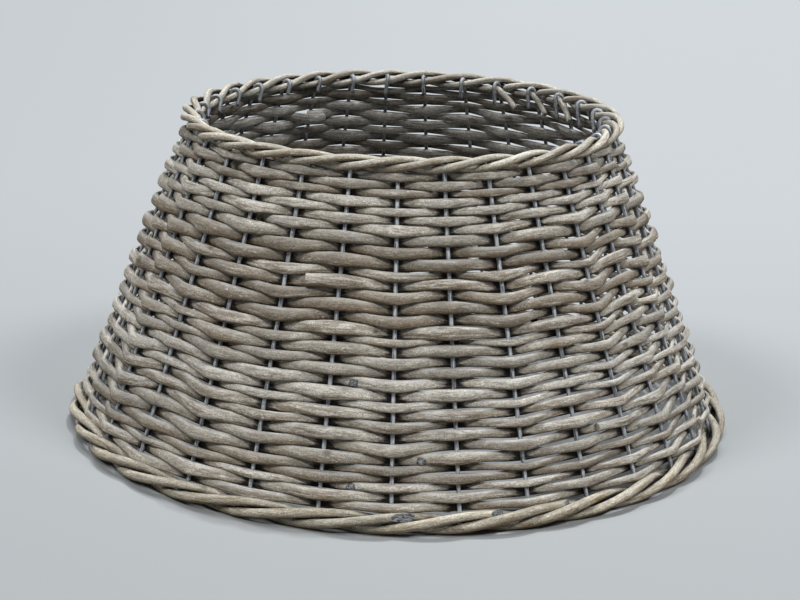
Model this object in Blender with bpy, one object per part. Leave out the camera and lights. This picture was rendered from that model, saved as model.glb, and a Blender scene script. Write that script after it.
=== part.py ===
"""Woven willow collar that hides the stand of a Christmas tree.

The collar is an open cone that stands on its wide end. Upright wires carry a plain weave of willow rods,
and a wale of three strands closes the weave at the top and at the bottom. Each wire ends at the top in a
hook that grips the inner strand of the top border.

The origin is the centre of the footprint, on the floor. +Z is up, and the first wire stands at -Y.
An azimuth is counted from -Y towards +X. Lengths are in metres.
"""

from math import atan2, cos, hypot, pi, radians, sin, sqrt

import bmesh
import bpy
import numpy as np

# Overall form
BOTTOM_DIAMETER = 0.570
TOP_DIAMETER = 0.372
HEIGHT = 0.268

# Wire uprights: their count is odd, so that one spiral of rods passes a wire in front and then behind
WIRE_PAIRS = 15
WIRE_COUNT = 2 * WIRE_PAIRS + 1
WIRE_DIAMETER = 0.003
WIRE_FOOT_HEIGHT = 0.002
WIRE_DRIFT = radians(1.4)
HOOK_DROP = 0.012

# Willow rods of the wall, thicker at the butt than at the tip
ROD_COUNT = 20
ROD_BUTT_DIAMETER = 0.0080
ROD_TIP_DIAMETER = 0.0068
ROD_FULLNESS_SHARES = (0.88, 1.09, 0.97, 0.97, 1.08, 1.15, 1.05, 0.79)
SPIRAL_END_DIAMETER = 0.003
SPIRAL_END_CROSSINGS = 8
SPIRAL_START_WIRE = 16

# Three strands roll round the wires in each border
STRAND_COUNT = 3
TOP_STRAND_DIAMETER = 0.0055
TOP_START_WIRE = 11
BOTTOM_STRAND_DIAMETER = 0.0070
BOTTOM_START_WIRE = -2
BOTTOM_MEETING_ROLL = radians(60)
FLOOR_FLAT_ROLL = radians(30)

# Cut ends of the top border, which hang inside the wall
TAIL_DROP = 0.010
TAIL_INWARD = 0.0090
TAIL_NECK_DROP = 0.001
TAIL_RUN_SHARE = 0.50
TAIL_NECK_SHARE = 0.12
LAST_TURN_SHARE = 0.30

# What touches in the real collar stands this far apart here
CLEARANCE = 0.0003
END_GAP = 0.0006

WIRE_SPACING_ANGLE = 2 * pi / WIRE_COUNT
CLOSEST_SPACING_ANGLE = WIRE_SPACING_ANGLE * (1 - 2 * WIRE_DRIFT)
WIDEST_SPACING_ANGLE = WIRE_SPACING_ANGLE * (1 + 2 * WIRE_DRIFT)
ROLL_PER_WIRE = 2 * pi / STRAND_COUNT
INNERMOST_ROLL = pi
SETTLING_PASSES = 6
SHARP_EDGE_ANGLE = radians(80)

# Colours in linear light
WEAVER_COLOUR = (0.235, 0.208, 0.170)
WEAVER_SHADE_SHARES = (1.0, 0.86, 1.12, 0.94, 1.05)
TOP_BORDER_COLOUR = (0.300, 0.262, 0.200)
BOTTOM_BORDER_COLOUR = (0.220, 0.195, 0.160)
WIRE_COLOUR = (0.235, 0.255, 0.275)
WILLOW_ROUGHNESS = 0.72
WIRE_ROUGHNESS = 0.42
WIRE_METALLIC = 0.85


def wire_azimuth(wire):
    """Azimuth of a place counted in wires. Set by hand, the wires stand wider and closer twice on the way round."""
    even = wire * WIRE_SPACING_ANGLE
    return even + WIRE_DRIFT * (cos(2 * even) - 1)


def regular_outline(sides, first_corner):
    """Corners (across, up) of a regular outline of radius 1."""
    turn = first_corner + np.arange(sides) * 2 * pi / sides
    return np.column_stack((np.cos(turn), np.sin(turn)))


# A willow section has a corner on top and a flat side below, and a wire section has a corner each way
WILLOW_OUTLINE = regular_outline(5, pi / 2)
WIRE_OUTLINE = regular_outline(4, 0)
OUTLINE_TOP = WILLOW_OUTLINE[:, 1].max()
OUTLINE_BOTTOM = WILLOW_OUTLINE[:, 1].min()
OUTLINE_SIDE = WILLOW_OUTLINE[:, 0].max()
OUTLINE_HEIGHT = OUTLINE_TOP - OUTLINE_BOTTOM


class Border:
    """One wale border, seen as a ring of a given centre radius and height.

    Seen along the ring, each strand runs once round an ellipse while it passes three wires. The ellipse's
    half axes are `across`, square to the wall, and `along`, up the wall. At a wire one strand is innermost
    and the two others are outside, so the wire passes between them.
    """

    def __init__(self, diameter, strand_diameter, stands_on_floor):
        self.overall_radius = diameter / 2
        self.strand_radius = strand_diameter / 2
        self.stands_on_floor = stands_on_floor
        self.radius = self.overall_radius
        self.across = strand_diameter
        self.along = self.strand_radius
        self.height = 0.0
        self.lean = 0.0

    def settle(self, lean):
        """Work out the ellipse from what has to pass inside it, and then the ring that keeps the overall size."""
        self.lean = lean
        grip = self.strand_radius + WIRE_DIAMETER / 2 + CLEARANCE
        spacing = 2 * (self.radius - self.across) * sin(CLOSEST_SPACING_ANGLE / 2)
        slant = hypot(1, self.across / spacing)
        # The inner strand and the outer pair stand one and a half half-axes apart, with the wire between.
        apart = 2 * grip * slant
        self.across = apart / (1 - cos(ROLL_PER_WIRE))
        # Two strands that pass each other come closest at twice the height of the triangle of both spans.
        touch = (2 * self.strand_radius + CLEARANCE) * hypot(1, 2 * self.across / spacing)
        span = touch * apart / sqrt(4 * apart**2 - touch**2)
        self.along = span / sin(ROLL_PER_WIRE)
        self.wire_offset = grip * slant - self.across
        outward, upward = self.station_offsets(np.array(self.station_rolls()))
        self.radius = self.overall_radius - outward.max() - OUTLINE_SIDE * self.strand_radius
        if self.stands_on_floor:
            self.height = -upward.min() - OUTLINE_BOTTOM * self.strand_radius
        else:
            self.height = HEIGHT - upward.max() - OUTLINE_TOP * self.strand_radius

    def station_rolls(self):
        """Roll angles at which a strand has a section: two to each wire, and two beside its lowest point."""
        rolls = [step * ROLL_PER_WIRE / 2 for step in range(2 * STRAND_COUNT)]
        if not self.stands_on_floor:
            return rolls
        lowest = pi + atan2(self.along * cos(self.lean), self.across * sin(self.lean))
        nearest = min(rolls, key=lambda roll: abs(roll - lowest))
        rolls.remove(nearest)
        return sorted(rolls + [lowest - FLOOR_FLAT_ROLL / 2, lowest + FLOOR_FLAT_ROLL / 2])

    def station_offsets(self, rolls):
        """Outward and upward distances from the ring to a strand's centre at these roll angles."""
        return self.tilted(self.across * np.cos(rolls), self.along * np.sin(rolls))

    def tilted(self, across, along):
        """Outward and upward parts of a distance across the wall and one along it."""
        outward = across * cos(self.lean) - along * sin(self.lean)
        upward = across * sin(self.lean) + along * cos(self.lean)
        return outward, upward

    def place(self, across, along):
        """Radius and height of a point given across and along the wall from the ring."""
        outward, upward = self.tilted(across, along)
        return self.radius + outward, self.height + upward

    def half_height(self):
        """How far the strands reach up or down the wall from the ring."""
        return self.along * sin(ROLL_PER_WIRE) + self.strand_radius


def settle_borders():
    """The two borders and the wall's lean from the vertical, which each depend on the other."""
    bottom = Border(BOTTOM_DIAMETER, BOTTOM_STRAND_DIAMETER, True)
    top = Border(TOP_DIAMETER, TOP_STRAND_DIAMETER, False)
    lean = atan2(bottom.overall_radius - top.overall_radius, HEIGHT)
    for _ in range(SETTLING_PASSES):
        bottom.settle(lean)
        top.settle(lean)
        lean = atan2(bottom.radius - top.radius, top.height - bottom.height)
    return bottom, top, lean


def section(azimuth, radius, height, size, tilt=0.0, slide=0.0):
    """Corners in space of a willow section that stands across the rod, in the upright plane of the azimuth."""
    across, along = size * WILLOW_OUTLINE.T
    out = radius + across * cos(tilt) - along * sin(tilt)
    up = height + across * sin(tilt) + along * cos(tilt)
    x = out * sin(azimuth) + slide * cos(azimuth)
    y = -out * cos(azimuth) + slide * sin(azimuth)
    return np.column_stack((x, y, up))


def loft(name, sections):
    """A closed mesh through a row of sections that have as many corners each."""
    shape = bmesh.new()
    rings = [[shape.verts.new(corner) for corner in corners] for corners in sections]
    sides = len(rings[0])
    for near, far in zip(rings, rings[1:]):
        for side in range(sides):
            other = (side + 1) % sides
            shape.faces.new((near[side], far[side], far[other], near[other]))
    shape.faces.new(rings[0])
    shape.faces.new(rings[-1])
    bmesh.ops.recalc_face_normals(shape, faces=shape.faces)
    mesh = bpy.data.meshes.new(name)
    shape.to_mesh(mesh)
    shape.free()
    mesh.shade_smooth()
    mesh.set_sharp_from_angle(angle=SHARP_EDGE_ANGLE)
    return mesh


def finish(name, colour, roughness, metallic=0.0):
    """A plain material of one colour."""
    material = bpy.data.materials.new(name)
    material.use_nodes = True
    shader = material.node_tree.nodes["Principled BSDF"]
    shader.inputs["Base Color"].default_value = (*colour, 1.0)
    shader.inputs["Roughness"].default_value = roughness
    shader.inputs["Metallic"].default_value = metallic
    material.diffuse_color = (*colour, 1.0)
    return material


def add_piece(name, mesh, material, parent, azimuth=0.0):
    """A named object with its own material slot, turned to its azimuth and carried by the parent."""
    piece = bpy.data.objects.new(name, mesh)
    bpy.context.scene.collection.objects.link(piece)
    piece.parent = parent
    piece.rotation_euler.z = azimuth
    if not mesh.materials:
        mesh.materials.append(material)
    piece.material_slots[0].link = "OBJECT"
    piece.material_slots[0].material = material
    return piece


def wire_profile(bottom, top):
    """Radius and height of the wire's bends, from its foot up the wall, over the inner strand and down."""
    low = np.array(bottom.place(bottom.wire_offset, 0.0))
    high = np.array(top.place(top.wire_offset, 0.0))
    rise = (high - low) / (high[1] - low[1])
    foot = low + rise * (WIRE_FOOT_HEIGHT - low[1])
    grip = top.wire_offset + top.across
    # The bends are the corners of a half hexagon round the strand, whose sides touch a circle of this grip.
    corner = grip / cos(pi / 6)
    turns = [pi / 6, pi / 2, 5 * pi / 6]
    bends = [top.place(corner * cos(turn) - top.across, corner * sin(turn)) for turn in turns]
    tip = (bends[-1][0], bends[-1][1] - corner * sin(turns[-1]) - HOOK_DROP)
    return np.array([foot, *bends, tip])


def wire_mesh(bottom, top):
    """A square wire swept along its profile, with mitred bends."""
    path = wire_profile(bottom, top)
    runs = np.diff(path, axis=0)
    runs /= np.linalg.norm(runs, axis=1)[:, None]
    before = np.vstack((runs[:1], runs))
    after = np.vstack((runs, runs[-1:]))
    along = before + after
    along /= np.linalg.norm(along, axis=1)[:, None]
    normal = np.column_stack((-along[:, 1], along[:, 0]))
    stretch = 1 / (along * after).sum(axis=1)
    sections = []
    for point, square, scale in zip(path, normal, stretch):
        across, sideways = WIRE_DIAMETER / 2 * WIRE_OUTLINE.T
        bend = point + np.outer(across * scale, square)
        sections.append(np.column_stack((sideways, -bend[:, 0], bend[:, 1])))
    return loft("wire", sections)


class Weave:
    """The plain weave of the wall: one spiral of rods that passes each wire on the other side from the last.

    A crossing is a place where the rods pass a wire. Crossings are numbered along the spiral, and each is
    stacked on the crossing one turn before it. Rods meet end to end behind a wire.
    """

    def __init__(self, bottom, top, lean):
        self.lean = lean
        self.low = np.array(bottom.place(bottom.wire_offset, 0.0))
        high = np.array(top.place(top.wire_offset, 0.0))
        self.slant = hypot(*(high - self.low))
        self.rise = (high - self.low) / self.slant
        self.base = bottom.half_height() + CLEARANCE
        # Midway between two wires a straight rod lies inside the round wall, and so a little higher on it.
        lift = high[0] * (1 - cos(WIDEST_SPACING_ANGLE / 2)) * sin(lean)
        self.space = self.slant - self.base - top.half_height() - lift
        rows = 1
        while self.stack(rows + 1)[2].max() <= self.space:
            rows += 1
        self.rows = rows
        self.thickness, self.underside, totals = self.stack(rows)
        column = np.arange(len(self.underside)) % WIRE_COUNT
        self.underside = self.base + self.underside * (self.space / totals)[column]

    def joints(self, rows):
        """Numbers of the crossings where one rod gives way to the next, all of them behind a wire."""
        share = np.arange(ROD_COUNT + 1) / ROD_COUNT
        joints = 2 * np.round(share * rows * WIRE_COUNT / 2).astype(int)
        joints[-1] = rows * WIRE_COUNT
        return joints

    def stack(self, rows):
        """Each crossing's thickness and the height of its underside, and each wire's whole stack."""
        crossings = np.arange(rows * WIRE_COUNT + 1)
        joints = self.joints(rows)
        ends = np.where(np.arange(ROD_COUNT + 1) % 2 == 0, ROD_TIP_DIAMETER, ROD_BUTT_DIAMETER)
        bands = len(ROD_FULLNESS_SHARES)
        fullness = np.interp(crossings / crossings[-1] * bands - 1 / 2, np.arange(bands), ROD_FULLNESS_SHARES)
        thickness = np.interp(crossings, joints, ends) * fullness
        from_end = np.minimum(crossings, crossings[-1] - crossings) / SPIRAL_END_CROSSINGS
        thinning = np.minimum(from_end, 1)
        thickness = SPIRAL_END_DIAMETER + (thickness - SPIRAL_END_DIAMETER) * thinning
        underside = np.zeros(len(crossings))
        for turn in range(1, rows + 1):
            here = crossings[turn * WIRE_COUNT:(turn + 1) * WIRE_COUNT]
            under = here - WIRE_COUNT
            underside[here] = underside[under] + thickness[under] + CLEARANCE
        upside = underside + thickness + CLEARANCE
        totals = np.array([upside[wire::WIRE_COUNT].max() for wire in range(WIRE_COUNT)])
        return thickness, underside, totals

    def rod_section(self, crossing, slide):
        """The section where the spiral passes a wire, in front of it at odd crossings and behind at even ones."""
        side = 1 if crossing % 2 else -1
        size = self.thickness[crossing] / OUTLINE_HEIGHT
        height_on_wall = self.underside[crossing] - OUTLINE_BOTTOM * size
        radius, height = self.low + self.rise * height_on_wall
        reach = OUTLINE_SIDE * size
        grip = WIRE_DIAMETER / 2 + CLEARANCE
        spacing = radius * sin(CLOSEST_SPACING_ANGLE)
        bulge = radius * (1 - cos(WIDEST_SPACING_ANGLE))
        # The rod slants away from the wire on both sides, so it stands off by more than it would lie straight.
        slope = (2 * (reach + grip) + side * bulge) / spacing
        offset = side * (reach + grip * hypot(1, slope))
        radius += offset * cos(self.lean)
        height += offset * sin(self.lean)
        azimuth = wire_azimuth(SPIRAL_START_WIRE + crossing)
        return section(azimuth, radius, height, size, self.lean, slide)

    def rod_mesh(self, number):
        """One rod, from its joint with the rod before to its joint with the rod after."""
        joints = self.joints(self.rows)
        first, last = joints[number], joints[number + 1]
        slides = np.zeros(last - first + 1)
        slides[0] = END_GAP / 2
        slides[-1] = -END_GAP / 2
        sections = [self.rod_section(crossing, slide) for crossing, slide in zip(range(first, last + 1), slides)]
        return loft(f"weaver_{number + 1:02d}", sections)


def strand_stations(border, number, first_roll):
    """Wire positions and roll angles of a strand's sections, from its own start to where another strand starts.

    A strand is innermost at the wire of its own number and at each third wire after it.
    """
    first = number + (first_roll - INNERMOST_ROLL) / ROLL_PER_WIRE
    if first < number:
        first += STRAND_COUNT
    last = WIRE_COUNT + first - number + (number - WIRE_COUNT) % STRAND_COUNT
    stations = []
    for turn in range(WIRE_COUNT // STRAND_COUNT + STRAND_COUNT):
        for roll in border.station_rolls():
            wire = number + turn * STRAND_COUNT + (roll - INNERMOST_ROLL) / ROLL_PER_WIRE
            stations.append((wire, roll))
    inside = [(wire, roll) for wire, roll in stations if first < wire < last]
    return [(first, first_roll), *inside, (last, first_roll)]


def strand_section(border, start_wire, wire, across, along, slide=0.0):
    """A strand's section at a wire position, with its centre across and along the wall from the ring."""
    radius, height = border.place(across, along)
    azimuth = wire_azimuth(start_wire + wire)
    return section(azimuth, radius, height, border.strand_radius, slide=slide)


def rolled_sections(border, start_wire, stations, slides=None):
    """Sections of a strand at its stations on the ellipse."""
    slides = slides or [0.0] * len(stations)
    return [
        strand_section(border, start_wire, wire, border.across * cos(roll), border.along * sin(roll), slide)
        for (wire, roll), slide in zip(stations, slides)
    ]


def top_strand_mesh(border, number):
    """A strand of the top border, whose thick end starts behind a wire and hangs down inside the wall."""
    stations = strand_stations(border, number, INNERMOST_ROLL)
    last_wire, last_roll = stations.pop()
    stations.append((last_wire - LAST_TURN_SHARE, last_roll - LAST_TURN_SHARE * ROLL_PER_WIRE))
    neck = -border.across - TAIL_NECK_DROP
    tail = [
        (number - TAIL_RUN_SHARE, -border.across - TAIL_INWARD, -TAIL_DROP),
        (number - TAIL_NECK_SHARE, neck, -TAIL_NECK_DROP),
    ]
    sections = [strand_section(border, TOP_START_WIRE, *station) for station in tail]
    sections += rolled_sections(border, TOP_START_WIRE, stations)
    return loft(f"top_border_strand_{number + 1}", sections)


def bottom_strand_mesh(border, number):
    """A strand of the bottom border, whose ends meet the next strands' ends on the outer side."""
    stations = strand_stations(border, number, BOTTOM_MEETING_ROLL)
    slides = [END_GAP / 2, *[0.0] * (len(stations) - 2), -END_GAP / 2]
    sections = rolled_sections(border, BOTTOM_START_WIRE, stations, slides)
    return loft(f"bottom_border_strand_{number + 1}", sections)


def build_collar():
    for old in list(bpy.data.objects):
        bpy.data.objects.remove(old)
    collar = bpy.data.objects.new("collar", None)
    bpy.context.scene.collection.objects.link(collar)
    bottom, top, lean = settle_borders()
    weave = Weave(bottom, top, lean)

    steel = finish("wire_steel", WIRE_COLOUR, WIRE_ROUGHNESS, WIRE_METALLIC)
    wire = wire_mesh(bottom, top)
    for number in range(WIRE_COUNT):
        add_piece(f"wire_{number + 1:02d}", wire, steel, collar, wire_azimuth(number))

    shades = []
    for number, share in enumerate(WEAVER_SHADE_SHARES):
        colour = [share * part for part in WEAVER_COLOUR]
        shades.append(finish(f"weaver_willow_{number + 1}", colour, WILLOW_ROUGHNESS))
    for number in range(ROD_COUNT):
        shade = shades[number % len(shades)]
        add_piece(f"weaver_{number + 1:02d}", weave.rod_mesh(number), shade, collar)

    top_willow = finish("top_border_willow", TOP_BORDER_COLOUR, WILLOW_ROUGHNESS)
    bottom_willow = finish("bottom_border_willow", BOTTOM_BORDER_COLOUR, WILLOW_ROUGHNESS)
    for number in range(STRAND_COUNT):
        top_mesh = top_strand_mesh(top, number)
        bottom_mesh = bottom_strand_mesh(bottom, number)
        add_piece(f"top_border_strand_{number + 1}", top_mesh, top_willow, collar)
        add_piece(f"bottom_border_strand_{number + 1}", bottom_mesh, bottom_willow, collar)
    print(f"{weave.rows} rows of weave between the borders, lean {lean:.4f} rad")


build_collar()
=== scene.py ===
"""Woven willow collar for a Christmas tree: its finished surfaces, floor, lamps and camera.

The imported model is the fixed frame. Each rod, strand and wire of it is replaced by a finer piece in
the same place: a stick swept along a path, round for strands and wires and squarish for rods. Along
a rod or strand, a place is counted in wires passed. An azimuth is counted from -Y towards +X.
`Across` is square to the wall and `along` goes up it. Lengths are in metres, and colours in linear
light.
"""

from collections import namedtuple
from math import asin, atan2, cos, hypot, pi, radians, sin, sqrt

import bpy
import numpy as np
from mathutils import Matrix


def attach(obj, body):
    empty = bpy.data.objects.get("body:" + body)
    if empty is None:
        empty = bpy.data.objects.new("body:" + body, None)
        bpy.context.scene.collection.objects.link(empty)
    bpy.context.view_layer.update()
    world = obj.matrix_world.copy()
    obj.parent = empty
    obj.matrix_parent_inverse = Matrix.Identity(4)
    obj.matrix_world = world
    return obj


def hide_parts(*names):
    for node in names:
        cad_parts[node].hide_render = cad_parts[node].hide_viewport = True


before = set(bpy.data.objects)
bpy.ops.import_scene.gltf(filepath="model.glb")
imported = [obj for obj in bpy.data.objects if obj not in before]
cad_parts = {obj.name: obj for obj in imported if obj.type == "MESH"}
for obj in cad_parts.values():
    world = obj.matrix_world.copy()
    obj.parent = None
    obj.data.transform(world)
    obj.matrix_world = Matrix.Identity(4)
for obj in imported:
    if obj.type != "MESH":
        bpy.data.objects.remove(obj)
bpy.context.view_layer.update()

SEED = 31

# Overall form, as the frame has it
BOTTOM_DIAMETER = 0.570
TOP_DIAMETER = 0.372
HEIGHT = 0.268
TOP_SWAY = -0.002

# Wire uprights
WIRE_COUNT = 31
WIRE_DIAMETER = 0.003
WIRE_SWELL = 1.12
WIRE_FOOT_HEIGHT = 0.002
WIRE_DRIFT = radians(1.4)
WIRE_TURN = radians(0.8)
TOP_SPREAD = radians(0.8)
WIRE_WANDER = radians(0.35)

# Hooks of the wires, whose drop and swing change round the border
HOOK_DROP = 0.0115
HOOK_DROP_TREND = 0.0040
HOOK_DROP_SPREAD = 0.0025
HOOK_SWING = radians(30)
HOOK_SWING_TURN = radians(12)
HOOK_SWING_SPREAD = radians(7)
HOOK_BOW_SHARE = 0.35
HOOK_GRIP_SLACK = 0.0003

# Willow rods of the wall
ROW_COUNT = 33
ROD_COUNT = 20
ROD_BUTT_DIAMETER = 0.0080
ROD_TIP_DIAMETER = 0.0068
ROD_FULLNESS_SHARES = (0.88, 1.09, 0.97, 0.97, 1.08, 1.15, 1.05, 0.79)
SPIRAL_END_DIAMETER = 0.003
SPIRAL_END_CROSSINGS = 8
SPIRAL_START_WIRE = 16
ROD_SWELL = 1.21
LOOSE_SHARE = 0.08
LOOSE_LOW_SHARE = 0.22
SQUEEZE_SHARE = 0.19
ROD_UNEVENNESS = 0.15
UNEVENNESS_SPANS = (37.0, 23.0, 61.0)
CROSSING_UNEVENNESS = 0.07
ROD_ROUGHNESS_SHARE = 0.03
ROD_FLATNESS = 0.62
ROD_SQUARENESS = 2.6

# How the rods pass the wires
WAVE_SHARE = 0.80
KINK_SHARPNESS = 0.985
CHORD_SAG = 0.0012
WEAVE_TILT = 0.19

# Strands of the borders
STRAND_COUNT = 3
TOP_STRAND_DIAMETER = 0.0055
TOP_START_WIRE = 11
BOTTOM_STRAND_DIAMETER = 0.0070
BOTTOM_START_WIRE = -2
BOTTOM_MEETING_ROLL = radians(60)
STRAND_SWELL = 1.06
STRAND_UNEVENNESS = 0.06
CLEARANCE = 0.0003

# Joints of the rods: a new rod starts inside the last one, or at some joints outside it
OUTER_JOINTS = (1, 4, 9, 13, 18)
INNER_START = -0.25
INNER_TAIL = 0.15
INNER_LAP_HOLD = 0.10
INNER_LAP_SHARE = 0.68
OUTER_START = 0.41
OUTER_TAIL = 0.62
OUTER_LAP_HOLD = 0.40
OUTER_LAP_SHARE = 0.55
LAP_RUN = 0.60

# Cut ends of the borders
TAIL_DROP = 0.0125
TAIL_INWARD = 0.0090
TAIL_RUN = 0.62
TAIL_CURL = 1.5
LAST_TURN_SHARE = 0.30
BOTTOM_OVERRUNS = (0.58, 0.17, 0.50)
BOTTOM_END_TURN = radians(28)
LAY_OUT_SHARE = 0.8
LAY_IN_SHARE = 0.7
LAY_RUN = 0.9

# Painted shade in the creases: the depth at which it is full, and the depth at which it starts, as
# shares of the wave's height
CREASE_SHADE_DEPTH_SHARE = 1.00
CREASE_SHADE_EDGE_SHARE = 0.87

# Oblique cuts of the ends, by their reach along the stick over the stick's radius
PLAIN_CUT = 0.25
OUTER_JOINT_CUT = 0.35
TOP_TAIL_CUT = 1.2
BOTTOM_CUTS = (1.2, 2.9, 1.8)
CUT_FADE = 4
CAP_BEVEL_SHARE = 0.06
CAP_RIM_SHARE = 0.90
CAP_CORE_SHARE = 0.45

# A knot's height is a share of the radius, its length is counted in wires and its width is an angle
Knot = namedtuple("Knot", "place turn height length width scarred")
KNOT_GIRTH_SHARE = 0.25
KNOT_RING_REACH = 1.8
KNOT_RING_COUNT = 13
BUD_SPACING = 4.2
BUD_SPREAD = 1.6
BUD_HEIGHTS = (0.05, 0.22)
BUD_LENGTHS = (0.05, 0.10)
BUD_WIDTHS = (0.45, 0.8)

# Scars of side shoots, by their places along the spiral of rods
SIDE_SHOOT_PLACES = (76.43, 170.45, 386.38)
SIDE_SHOOT_TURN = pi / 8
SIDE_SHOOT_HEIGHT = 0.22
SIDE_SHOOT_LENGTH = 0.09
SIDE_SHOOT_WIDTH = 0.9
SCAR_REACH = 0.012

# Fineness of the surfaces
STICK_SIDES = 16
WIRE_SIDES = 12
STEPS_PER_CROSSING = 16
CLOSEST_RINGS = 1e-3
WIRE_RING_COUNTS = (25, 17, 7)

WIRE_SPACING_ANGLE = 2 * pi / WIRE_COUNT
CLOSEST_SPACING_ANGLE = WIRE_SPACING_ANGLE * (1 - 2 * WIRE_DRIFT)
ROLL_PER_WIRE = 2 * pi / STRAND_COUNT
INNERMOST_ROLL = pi
SETTLING_PASSES = 6

chance = np.random.default_rng(SEED)


def eased(values, place):
    """Values given at whole numbers, read between them on the cubic that passes through all."""
    low = np.clip(np.floor(place).astype(int), 0, len(values) - 2)
    share = place - low
    near, far = values[low], values[low + 1]
    before = values[np.maximum(low - 1, 0)]
    after = values[np.minimum(low + 2, len(values) - 1)]
    rise_near, rise_far = (far - before) / 2, (after - near) / 2
    square, cube = share**2, share**3
    return (
        (2 * cube - 3 * square + 1) * near + (3 * square - 2 * cube) * far
        + (cube - 2 * square + share) * rise_near + (cube - square) * rise_far
    )


def smooth_step(value):
    """0 below 0 and 1 above 1, with a smooth rise between."""
    share = np.clip(value, 0, 1)
    return share**2 * (3 - 2 * share)


def wave(place, spans, phases):
    """A sum of sines of these spans, which never repeats over a rod's length, about 1 high."""
    sines = (np.sin(2 * pi * place / span + phase) for span, phase in zip(spans, phases))
    return sum(sines) / sqrt(len(spans))


def space_point(azimuth, radius, height):
    """A point from its azimuth, radius and height, with the hand-woven cone's sway to one side."""
    x = radius * np.sin(azimuth) + TOP_SWAY * height / HEIGHT
    return np.stack((x, -radius * np.cos(azimuth), height + 0 * azimuth), axis=-1)


def wall_normal(azimuth):
    """The direction square to the wall, outwards."""
    x, y = cos(LEAN) * np.sin(azimuth), -cos(LEAN) * np.cos(azimuth)
    return np.stack((x, y, sin(LEAN) + 0 * azimuth), axis=-1)


class Border:
    """One wale border: each strand goes once round an ellipse while it passes three wires."""

    def __init__(self, diameter, strand_diameter, stands_on_floor):
        self.overall_radius = diameter / 2
        self.strand_radius = strand_diameter / 2
        self.stands_on_floor = stands_on_floor
        self.radius = self.overall_radius
        self.across = strand_diameter
        self.along = self.strand_radius
        self.height = 0.0
        self.lean = 0.0

    def settle(self, lean):
        """Fit the ellipse to the wire and strands inside it, and the ring to the overall size."""
        self.lean = lean
        grip = self.strand_radius + WIRE_DIAMETER / 2 + CLEARANCE
        spacing = 2 * (self.radius - self.across) * sin(CLOSEST_SPACING_ANGLE / 2)
        slant = hypot(1, self.across / spacing)
        apart = 2 * grip * slant
        self.across = apart / (1 - cos(ROLL_PER_WIRE))
        touch = (2 * self.strand_radius + CLEARANCE) * hypot(1, 2 * self.across / spacing)
        self.along = touch * apart / sqrt(4 * apart**2 - touch**2) / sin(ROLL_PER_WIRE)
        self.wire_offset = grip * slant - self.across
        width = hypot(self.across * cos(lean), self.along * sin(lean))
        rise = hypot(self.across * sin(lean), self.along * cos(lean))
        self.radius = self.overall_radius - width - self.strand_radius
        self.height = rise + self.strand_radius
        if not self.stands_on_floor:
            self.height = HEIGHT - rise - self.strand_radius

    def place(self, across, along):
        """Radius and height of a point given across and along the wall from the ring."""
        outward = across * cos(self.lean) - along * sin(self.lean)
        upward = across * sin(self.lean) + along * cos(self.lean)
        return self.radius + outward, self.height + upward

    def half_height(self):
        """How far the strands reach up or down the wall from the ring."""
        return self.along * sin(ROLL_PER_WIRE) + self.strand_radius


def settle_borders():
    """The two borders and the wall's lean from the vertical, which each depend on the other."""
    bottom = Border(BOTTOM_DIAMETER, BOTTOM_STRAND_DIAMETER, True)
    top = Border(TOP_DIAMETER, TOP_STRAND_DIAMETER, False)
    lean = atan2(bottom.overall_radius - top.overall_radius, HEIGHT)
    for _ in range(SETTLING_PASSES):
        bottom.settle(lean)
        top.settle(lean)
        lean = atan2(bottom.radius - top.radius, top.height - bottom.height)
    return bottom, top, lean


BOTTOM, TOP, LEAN = settle_borders()
WALL_LOW = np.array(BOTTOM.place(BOTTOM.wire_offset, 0.0))
WALL_HIGH = np.array(TOP.place(TOP.wire_offset, 0.0))
WALL_SLANT = hypot(*(WALL_HIGH - WALL_LOW))
WALL_RISE = (WALL_HIGH - WALL_LOW) / WALL_SLANT

# Each wire stands a little off its even place, by one amount at the foot and another at the top
FOOT_WANDER = WIRE_WANDER * chance.uniform(-1, 1, WIRE_COUNT)
TOP_WANDER = WIRE_WANDER * chance.uniform(-1, 1, WIRE_COUNT)


def wire_azimuth(wire, height_share):
    """Azimuth of a place counted in wires, at this share of the wall's height.

    The wires stand wider and closer twice on the way round, spread a little more to
    each side at the top, and each leans a little its own way.
    """
    even = wire * WIRE_SPACING_ANGLE
    around = np.asarray(wire, float) % WIRE_COUNT + WIRE_COUNT
    foot = eased(np.tile(FOOT_WANDER, 3), around)
    high = eased(np.tile(TOP_WANDER, 3), around)
    drift = WIRE_DRIFT * (np.cos(2 * even) - 1) - WIRE_TURN
    spread = TOP_SPREAD * np.sin(even) * height_share
    return even + (drift + spread) + foot + (high - foot) * height_share


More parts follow.
